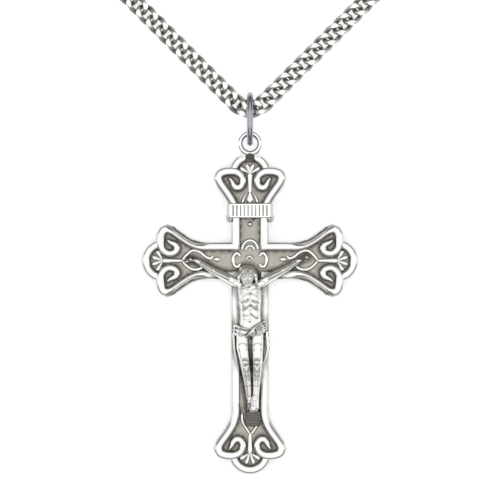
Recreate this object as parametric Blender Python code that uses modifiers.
"""A crucifix pendant on its curb chain, lying face up on a table. Blender 4.5, metres, +Z up.

X runs across the arms, Y runs up the post and Z comes out of the face. The origin is on the cross's
flat back, where the arms' centre line meets the post's. The chain is laid out in a V beyond the
jump ring, and the rest of its length is wound in two coils, one for each half.
"""

import math

import bmesh
import bpy
from mathutils import Matrix, Vector

mm = 0.001

# The cross
armReach = 16.0 * mm
footReach = 31.6 * mm
headTrim = 15.4 * mm  # the head is cut flat here, where the hanging loop is soldered
halfBar = 2.74 * mm
borderWidth = 1.26 * mm
endBorderWidth = 0.9 * mm
floorHeight = 1.1 * mm
borderHeight = 2.2 * mm
solderGap = 0.03 * mm
flareLength = 9.3 * mm
lobeSetback, lobeOffset, lobeRadius = 3.77 * mm, 3.85 * mm, 1.5 * mm
endRadius = 3.1 * mm
voluteSetback, voluteOffset, voluteRadius = 4.45 * mm, 1.42 * mm, 1.12 * mm
fanRadius, headFanRadius = 1.9 * mm, 1.5 * mm
plaqueLow = Vector((-3.36, 6.3, 2.23)) * mm
plaqueHigh = Vector((3.36, 8.5, 3.0)) * mm
dropCentre, dropRadius = Vector((0, 5.5, 1.56)) * mm, 0.42 * mm
footRestLow, footRestHigh = Vector((-0.65, -24.38, 1.13)) * mm, Vector((1.15, -22.75, 2.6)) * mm

# The loop and the ring
loopCentre = Vector((0, 17.36, 1.8)) * mm
loopRadius, loopWire = 1.49 * mm, 0.39 * mm
ringCentre = Vector((0, 20.95, 2.35)) * mm
ringHalfLength, ringHalfHeight, ringWire = 3.55 * mm, 1.9 * mm, 0.45 * mm

# The chain: each link is a twisted oval, a half length, a half width and a rise off its own plane
linkOval = Vector((1.5, 1.0, 0.5)) * mm
apexOval = Vector((1.64, 1.045, 0.62)) * mm
linkWire = 0.38 * mm
linkPitch = 2.087 * mm
linksPerSide = 12
apexCentre = Vector((0, 22.5, 2.35)) * mm
strandDrop = math.radians(2.9)  # each strand slopes down from the ring to the table
firstLink = {1: Vector((1.968, 0.693, 0.059)) * mm, -1: Vector((-1.963, 0.688, -0.15)) * mm}
firstRoll = -0.103  # each first link rolls a little where it turns the corner of the V
tableHeight = 0.9 * mm  # of the chain's centre line where it lies flat

# The coils that hold the rest of each half
chainWidth = 2.76 * mm
chainHeight = 1.76 * mm
coilLayers = 3
layerPitch = 1.79 * mm
coilInner = 8.5 * mm
coilOuter = 12.5 * mm
leadLength = 11.6 * mm


def materialOf(name, colour, roughness):
    material = bpy.data.materials.new(name)
    material.use_nodes = True
    shader = material.node_tree.nodes["Principled BSDF"]
    shader.inputs["Base Color"].default_value = (*colour, 1)
    shader.inputs["Metallic"].default_value = 1
    shader.inputs["Roughness"].default_value = roughness
    return material


def place(obj, name, material, collection):
    """Names the object, gives it its material and moves it to the collection."""
    obj.name = obj.data.name = name
    obj.data.materials.clear()
    obj.data.materials.append(material)
    for old in list(obj.users_collection):
        old.objects.unlink(obj)
    collection.objects.link(obj)
    return obj


def meshOf(obj):
    """The same object as a mesh, with its caps welded, so that it can be cut and joined."""
    bpy.context.view_layer.update()
    evaluated = obj.evaluated_get(bpy.context.evaluated_depsgraph_get())
    mesh = bpy.data.meshes.new_from_object(evaluated)
    solid = bmesh.new()
    solid.from_mesh(mesh)
    bmesh.ops.remove_doubles(solid, verts=solid.verts, dist=0.001 * mm)
    solid.to_mesh(mesh)
    solid.free()
    new = bpy.data.objects.new(obj.name, mesh)
    new.matrix_world = obj.matrix_world
    bpy.context.scene.collection.objects.link(new)
    bpy.data.objects.remove(obj)
    return new


def prism(points, low, high):
    """A flat outline in X and Y, filled and extruded from one height to another."""
    curve = bpy.data.curves.new("outline", "CURVE")
    curve.dimensions = "2D"
    curve.fill_mode = "BOTH"
    curve.extrude = (high - low) / 2
    spline = curve.splines.new("POLY")
    spline.points.add(len(points) - 1)
    for point, (x, y) in zip(spline.points, points):
        point.co = (x, y, 0, 1)
    spline.use_cyclic_u = True
    obj = bpy.data.objects.new("outline", curve)
    obj.location.z = (high + low) / 2
    bpy.context.scene.collection.objects.link(obj)
    return meshOf(obj)


def wire(points, radius, closed=False, resolution=1):
    """A round wire through the points."""
    curve = bpy.data.curves.new("wire", "CURVE")
    curve.dimensions = "3D"
    curve.bevel_depth = radius
    curve.bevel_resolution = resolution
    curve.use_fill_caps = not closed
    spline = curve.splines.new("POLY")
    spline.points.add(len(points) - 1)
    for point, co in zip(spline.points, points):
        point.co = (*co, 1)
    spline.use_cyclic_u = closed
    obj = bpy.data.objects.new("wire", curve)
    bpy.context.scene.collection.objects.link(obj)
    return obj


def cylinder(radius, low, high, centre, sides=24):
    """An upright cylinder on the point centre, between two heights."""
    bpy.ops.mesh.primitive_cylinder_add(
        vertices=sides, radius=radius, depth=high - low, location=(*centre, (low + high) / 2)
    )
    return bpy.context.object


def block(low, high):
    """A box between two corners."""
    bpy.ops.mesh.primitive_cube_add(size=1, location=(Vector(low) + Vector(high)) / 2)
    obj = bpy.context.object
    obj.scale = Vector(high) - Vector(low)
    bpy.ops.object.transform_apply(location=False, rotation=False, scale=True)
    return obj


def combine(target, others, operation, solver="EXACT"):
    """Cuts the others from the target, or joins them to it, as Boolean modifiers that are applied."""
    for other in others:
        modifier = target.modifiers.new("Boolean", "BOOLEAN")
        modifier.object = other
        modifier.operation = operation
        modifier.solver = solver
        target = meshOf(target)
        bpy.data.objects.remove(other)
    return target


def arc(centre, radius, start, end, steps):
    """Points along an arc, with its angles in degrees."""
    angles = [math.radians(start + (end - start) * i / steps) for i in range(steps + 1)]
    return [(centre[0] + radius * math.cos(a), centre[1] + radius * math.sin(a)) for a in angles]


def armEdge(reach, inset=0.0, endInset=0.0):
    """Half of one arm's outline, along the arm and outwards from its centre line.

    It runs straight from the bar's corner, flares in a smooth curve to a side lobe, then follows the
    end's own round to the centre line.
    """
    lobe = (reach - lobeSetback, lobeOffset)
    side = arc(lobe, lobeRadius - inset, 115, -38 if not inset else -60, 8)
    start = Vector((reach - flareLength, halfBar - inset))
    finish = Vector(side[0])
    bend = start + Vector((2.0 * mm, 0))
    swell = finish - Vector((1.45, 0.68)) * mm
    flare = []
    for i in range(9):
        t = i / 8
        flare.append(
            tuple(
                (1 - t) ** 3 * start
                + 3 * t * (1 - t) ** 2 * bend
                + 3 * t * t * (1 - t) * swell
                + t**3 * finish
            )
        )
    end = arc((reach - endRadius, 0), endRadius - endInset, 78 if not inset else 95, 0, 8)
    corner = (halfBar - inset, halfBar - inset)
    return [corner] + flare + side[1:] + end


def crossOutline(inset=0.0, endInset=0.0):
    """The whole cross's outline, anticlockwise: right arm, head, left arm, foot."""
    outline = []
    for quarter, reach in enumerate((armReach, armReach, armReach, footReach)):
        edge = armEdge(reach, inset, endInset)
        arm = [(s, -t) for s, t in edge] + [(s, t) for s, t in reversed(edge[1:-1])]
        turn = Matrix.Rotation(math.radians(90 * quarter), 2)
        points = [turn @ Vector(p) for p in arm]
        if quarter == 1:
            points = [Vector((p.x, min(p.y, headTrim - endInset))) for p in points]
        outline += [tuple(p) for p in points]
    return outline


def crossBody():
    """The struck cross: a flat back, a sunk field and a raised border round it."""
    body = prism(crossOutline(), 0, borderHeight)
    pocket = prism(crossOutline(borderWidth, endBorderWidth), floorHeight, borderHeight + mm)
    return combine(body, [pocket], "DIFFERENCE")


def armPlace(quarter, reach):
    """Turns a point that is measured along an arm into the cross's own axes."""
    turn = Matrix.Rotation(math.radians(90 * quarter), 2)
    return lambda setback, offset: turn @ Vector((reach - setback, offset))


def scroll(quarter, reach, fan):
    """The ornament of an arm's end: two volutes on a stem that opens into a fan."""
    at = armPlace(quarter, reach)
    low, high = floorHeight + solderGap, 1.95 * mm
    stem = block((-2.0 * mm, -0.42 * mm, low), (2.0 * mm, 0.42 * mm, high))
    stem.rotation_euler.z = math.radians(90 * quarter)
    stem.location = (*at(4.35 * mm, 0), stem.location.z)
    stem = meshOf(stem)
    pieces = [
        cylinder(voluteRadius, low, high - 0.01 * mm, at(voluteSetback, side * voluteOffset))
        for side in (-1, 1)
    ]
    pieces.append(cylinder(fan, low, high - 0.25 * mm, at(endRadius, 0), 32))
    return combine(meshOf(stem), pieces, "UNION")


def vine(points, radius=0.17 * mm):
    """A tendril that lies on the field, along points in millimetres."""
    height = floorHeight + solderGap + radius
    route = smooth([Vector((x, y, 0)) * mm for x, y in points], 4)
    return wire([Vector((p.x, p.y, height)) for p in route], radius)


# The tendrils, in millimetres: one on each side arm, and a fork round the feet
tendril = [
    (7.2, -1.2), (8.2, -1.3), (9.0, -0.8), (9.4, 0.1), (9.0, 1.0), (8.2, 1.25), (7.0, 0.8), (5.2, 0.3),
]
fork = [(-1.15, -22.6), (-1.12, -24.3), (0.15, -25.03), (1.38, -24.2), (1.4, -23.0)]


def smooth(points, steps):
    """A Catmull-Rom curve through the points, with that many steps between each pair."""
    ends = [2 * points[0] - points[1]] + list(points) + [2 * points[-1] - points[-2]]
    route = []
    for a, b, c, d in zip(ends, ends[1:], ends[2:], ends[3:]):
        for i in range(steps):
            t = i / steps
            route.append(
                0.5 * (2 * b + (c - a) * t + (2 * a - 5 * b + 4 * c - d) * t**2)
                + 0.5 * (3 * b - a - 3 * c + d) * t**3
            )
    return route + [points[-1]]


# The figure: each limb is a run of (x, y, z, radius) in millimetres, blended into one body
figureLimbs = {
    "head": [(-0.44, -2.3, 3.0, 1.25), (-0.4, -3.1, 3.1, 1.0)],
    "neck": [(-0.3, -3.4, 2.7, 0.6), (-0.15, -4.0, 2.6, 0.8)],
    "chest": [(-1.25, -4.3, 2.5, 0.95), (1.0, -4.3, 2.5, 0.95), (-0.1, -5.3, 2.6, 1.2)],
    "belly": [(-0.1, -6.2, 2.6, 1.25), (0.15, -7.4, 2.5, 1.25), (0.15, -8.6, 2.5, 1.3)],
    "hips": [(-1.1, -9.8, 2.5, 1.15), (1.3, -9.8, 2.5, 1.15), (0.1, -10.6, 2.6, 1.2)],
    "left_leg": [(-1.2, -11.6, 2.6, 1.0), (-0.65, -15.0, 3.0, 0.8), (-0.1, -20.2, 2.3, 0.5)],
    "right_leg": [(1.3, -11.6, 2.6, 1.0), (0.95, -15.0, 3.0, 0.85), (0.7, -20.3, 2.4, 0.55)],
    "feet": [(0.4, -20.6, 2.5, 0.6), (0.45, -22.0, 2.6, 0.62)],
    "left_arm": [(-1.7, -3.6, 2.8, 0.75), (-3.0, -2.6, 2.9, 0.65), (-5.4, -1.3, 2.75, 0.5)],
    "left_hand": [(-5.4, -1.3, 2.75, 0.5), (-8.0, 0.0, 2.25, 0.42), (-9.1, 0.25, 2.1, 0.45)],
    "right_arm": [(1.4, -3.7, 2.8, 0.75), (2.6, -2.7, 2.9, 0.65), (5.0, -1.3, 2.75, 0.5)],
    "right_hand": [(5.0, -1.3, 2.75, 0.5), (7.4, 0.2, 2.25, 0.42), (8.7, 0.5, 2.1, 0.45)],
}
handPlaces = ((-8.8, 0.2), (8.4, 0.48))
footPlace = (0.45, -21.5)
nailRadius = 0.22 * mm
handNailTop, footNailTop = 2.75 * mm, 3.7 * mm


def figure():
    """The body on the cross, one cast piece, blended from balls and cut flat where it rests."""
    metaball = bpy.data.metaballs.new("figure")
    metaball.resolution = 0.46
    metaball.threshold = 0.1
    for limb in figureLimbs.values():
        for first, second in zip(limb, limb[1:]):
            length = (Vector(second[:3]) - Vector(first[:3])).length
            steps = max(1, round(length / 0.5))
            for i in range(steps + 1):
                x, y, z, radius = (a + (b - a) * i / steps for a, b in zip(first, second))
                ball = metaball.elements.new()
                ball.co = (x, y, z)
                ball.radius = radius * 1.3
    obj = bpy.data.objects.new("figure", metaball)
    bpy.context.scene.collection.objects.link(obj)
    body = meshOf(obj)
    body.data.transform(Matrix.Scale(mm, 4))
    wide = 60 * mm
    below = block((-wide, -wide, -wide), (wide, wide, 1.6 * mm))
    rim = block((-wide, -wide, -mm), (wide, wide, borderHeight + solderGap))
    hollow = prism(crossOutline(borderWidth + solderGap, endBorderWidth), -2 * mm, 9 * mm)
    rim = combine(rim, [hollow], "DIFFERENCE")
    holes = [
        cylinder(nailRadius + solderGap, 0, 9 * mm, Vector(point) * mm, 16)
        for point in (*handPlaces, footPlace)
    ]
    return combine(body, [below, rim] + holes, "DIFFERENCE", "MANIFOLD")


def oval(size, steps=18):
    """A curb link's centre line: an oval that rises and falls twice as it goes round."""
    angles = [2 * math.pi * (i + 0.5) / steps for i in range(steps)]
    return [
        Vector((size.x * math.cos(a), size.y * math.sin(a), size.z * math.sin(2 * a)))
        for a in angles
    ]


def link(size, matrix):
    return wire([matrix @ p for p in oval(size)], linkWire, closed=True)


def strandFrame(side):
    """The axes of one strand: along it from the ring, across it, and up from it. side is 1 for +X."""
    turn = Matrix.Rotation(math.radians(45 if side > 0 else 135), 3, "Z")
    return turn @ Matrix.Rotation(strandDrop, 3, "Y")


def strandPoint(side, distance):
    """A point on a strand's centre line, that far past its first link's centre."""
    return apexCentre + firstLink[side] + strandFrame(side) @ Vector((distance, 0, 0))


def strandEnd(side):
    """Where the last of the separate links ends, on the table."""
    end = strandPoint(side, (linksPerSide - 1) * linkPitch + linkOval.x + linkWire)
    return Vector((end.x, end.y, tableHeight))


def coilCentre(side):
    """The coil touches the strand's own line, on its inner side."""
    along = Vector((side, 1, 0)).normalized()
    inward = Vector((-side, 1, 0)).normalized()
    return strandEnd(side) + along * leadLength + inward * coilOuter


def lead(side):
    """The chain from its last separate link to the rim of its coil, as a plain cord."""
    along = Vector((side, 1, 0)).normalized()
    start = strandEnd(side) + along * 0.3 * mm
    touch = strandEnd(side) + along * leadLength
    rim = coilOuter + chainWidth / 2 + chainHeight / 2 + 0.35 * mm
    run = math.sqrt(max(rim**2 - coilOuter**2, 0))
    finish = touch - along * run
    steps = 9
    return wire([start.lerp(finish, i / steps) for i in range(steps + 1)], chainHeight / 2)


def coil(side):
    """The outer shape of one coil, three layers high: a turned ring with rounded edges."""
    outer, inner = coilOuter + chainWidth / 2, coilInner - chainWidth / 2
    high, edge = chainHeight + (coilLayers - 1) * layerPitch, 0.3 * mm
    profile = [
        (outer - edge, high), (outer, high - edge), (outer, edge), (outer - edge, 0),
        (inner + edge, 0), (inner, edge), (inner, high - edge), (inner + edge, high),
    ]
    mesh = bpy.data.meshes.new("coil")
    ends = [(i, (i + 1) % len(profile)) for i in range(len(profile))]
    mesh.from_pydata([(r, 0, z) for r, z in profile], ends, [])
    obj = bpy.data.objects.new("coil", mesh)
    bpy.context.scene.collection.objects.link(obj)
    screw = obj.modifiers.new("Screw", "SCREW")
    screw.steps = screw.render_steps = 40
    screw.use_merge_vertices = True
    screw.merge_threshold = 0.0001 * mm
    centre = coilCentre(side)
    obj.location = (centre.x, centre.y, 0.02 * mm)
    return obj


endRingRadius, endRingWire, endRingHeight = 2.2 * mm, 0.42 * mm, 0.45 * mm

# The clasp lies in the middle of the left coil, its mouth towards +Y
claspLength, claspWidth, claspDepth = 8.6 * mm, 4.4 * mm, 1.5 * mm
claspWall = 0.75 * mm
pinPlace, pinRadius, pinHole = (1.82 * mm, -1.2 * mm), 0.25 * mm, 0.3 * mm
leverOutline = [  # in millimetres: the thumb tab stands out, and the long end closes the mouth
    (1.5, -1.7), (2.15, -1.75), (3.3, -1.5), (3.35, -1.1), (2.3, -0.75), (2.1, 0.6),
    (1.95, 2.15), (1.5, 2.15), (1.45, 0.0),
]


def claspOutline(inset):
    """Half round ends on straight sides, like a small hook seen from above."""
    half, radius = claspLength / 2 - claspWidth / 2, claspWidth / 2 - inset
    return arc((0, half), radius, 0, 180, 10) + arc((0, -half), radius, 180, 360, 10)


def clasp(parts, silver):
    centre = coilCentre(-1)
    low, high = 0.15 * mm, 0.15 * mm + claspDepth
    hook = prism(claspOutline(0), low, high)
    hollow = prism(claspOutline(claspWall), -mm, 5 * mm)
    mouth = block((0.35 * mm, 0.2 * mm, -mm), (4 * mm, 2.3 * mm, 5 * mm))
    slot = block((0.2 * mm, -2.3 * mm, low + 0.42 * mm), (4 * mm, 0.3 * mm, high - 0.42 * mm))
    hole = cylinder(pinHole, -mm, 5 * mm, pinPlace, 16)
    hook = combine(hook, [hollow, mouth, slot, hole], "DIFFERENCE")
    middle = (low + high) / 2
    thick = 0.27 * mm
    lever = prism([(x * mm, y * mm) for x, y in leverOutline], middle - thick, middle + thick)
    lever = combine(lever, [cylinder(pinHole, -mm, 5 * mm, pinPlace, 16)], "DIFFERENCE")
    pin = cylinder(pinRadius, low, high, pinPlace, 16)
    turns, steps = 3, 9
    spring = wire(
        [
            Vector((1.0 + 0.28 * math.cos(a), -2.2 + 0.9 * i / (turns * steps), 0)) * mm
            + Vector((0, 0, middle + 0.28 * mm * math.sin(a)))
            for i in range(turns * steps + 1)
            for a in [2 * math.pi * i / steps]
        ],
        0.07 * mm,
    )
    for obj, name in (
        (hook, "clasp_body"),
        (lever, "clasp_lever"),
        (pin, "clasp_pin"),
        (spring, "clasp_spring"),
    ):
        obj.location += Vector((centre.x, centre.y, 0))
        place(obj, name, silver, parts)


def flatRing(centre, radius, thickness):
    bpy.ops.mesh.primitive_torus_add(
        major_segments=24, minor_segments=8, major_radius=radius, minor_radius=thickness, location=centre
    )
    return bpy.context.object


def build():
    for obj in list(bpy.data.objects):
        bpy.data.objects.remove(obj)
    parts = bpy.data.collections.new("crucifix_necklace")
    bpy.context.scene.collection.children.link(parts)
    silver = materialOf("polished_silver", (0.86, 0.85, 0.82), 0.18)
    dark = materialOf("antiqued_silver", (0.34, 0.33, 0.3), 0.42)
    steel = materialOf("bright_wire", (0.74, 0.75, 0.77), 0.12)

    place(crossBody(), "cross_body", silver, parts)
    for name, quarter, reach, fan in (
        ("scroll_right", 0, armReach, fanRadius),
        ("scroll_top", 1, armReach, headFanRadius),
        ("scroll_left", 2, armReach, fanRadius),
        ("scroll_foot", 3, footReach, fanRadius),
    ):
        place(scroll(quarter, reach, fan), name, silver, parts)
    place(vine(tendril), "vine_right", silver, parts)
    place(vine([(-x, y) for x, y in tendril]), "vine_left", silver, parts)
    place(vine(fork), "vine_foot", silver, parts)

    place(flatRing(loopCentre, loopRadius, loopWire), "hanging_loop", silver, parts)
    plaque = block(plaqueLow, plaqueHigh)
    place(plaque, "titulus", silver, parts)
    bpy.ops.mesh.primitive_uv_sphere_add(
        segments=16, ring_count=8, radius=dropRadius, location=dropCentre
    )
    place(bpy.context.object, "titulus_drop", silver, parts)

    haloHeight, haloWire = floorHeight + 0.25 * mm, 0.2 * mm
    for name, centre, start, end in (
        ("nimbus_top", (0, 1.85), 0, 180),
        ("nimbus_left", (-2.05, 0.25), 60, 300),
        ("nimbus_right", (2.05, 0.25), -120, 120),
    ):
        points = arc((centre[0] * mm, centre[1] * mm), 0.62 * mm, start, end, 10)
        place(wire([Vector((*p, haloHeight)) for p in points], haloWire), name, silver, parts)

    place(figure(), "corpus", silver, parts)
    for name, point, top in (
        ("nail_left", handPlaces[0], handNailTop),
        ("nail_right", handPlaces[1], handNailTop),
        ("nail_feet", footPlace, footNailTop),
    ):
        nail = cylinder(nailRadius, floorHeight + solderGap, top, Vector(point) * mm, 16)
        place(nail, name, silver, parts)
    place(block(footRestLow, footRestHigh), "foot_rest", dark, parts)

    exponent = 2 / 2.5
    ring = []
    for i in range(28):
        a = 2 * math.pi * i / 28
        along = math.copysign(abs(math.cos(a)) ** exponent, math.cos(a))
        up = math.copysign(abs(math.sin(a)) ** exponent, math.sin(a))
        ring.append(ringCentre + Vector((0, ringHalfLength * along, ringHalfHeight * up)))
    place(wire(ring, ringWire, closed=True), "jump_ring", steel, parts)

    apex = link(apexOval, Matrix.Translation(apexCentre))
    place(apex, "chain_apex", silver, parts)
    for side, word in ((-1, "left"), (1, "right")):
        frame = strandFrame(side).to_4x4()
        for i in range(linksPerSide):
            roll = Matrix.Rotation(firstRoll if i == 0 else 0, 4, "X")
            matrix = Matrix.Translation(strandPoint(side, i * linkPitch)) @ frame @ roll
            place(link(linkOval, matrix), f"link_{word}_{i + 1:02d}", silver, parts)
        place(lead(side), f"chain_lead_{word}", silver, parts)
        place(coil(side), f"chain_coil_{word}", silver, parts)
    clasp(parts, silver)
    centre = coilCentre(1)
    ring = flatRing((centre.x, centre.y, endRingHeight), endRingRadius, endRingWire)
    place(ring, "end_ring", silver, parts)


build()
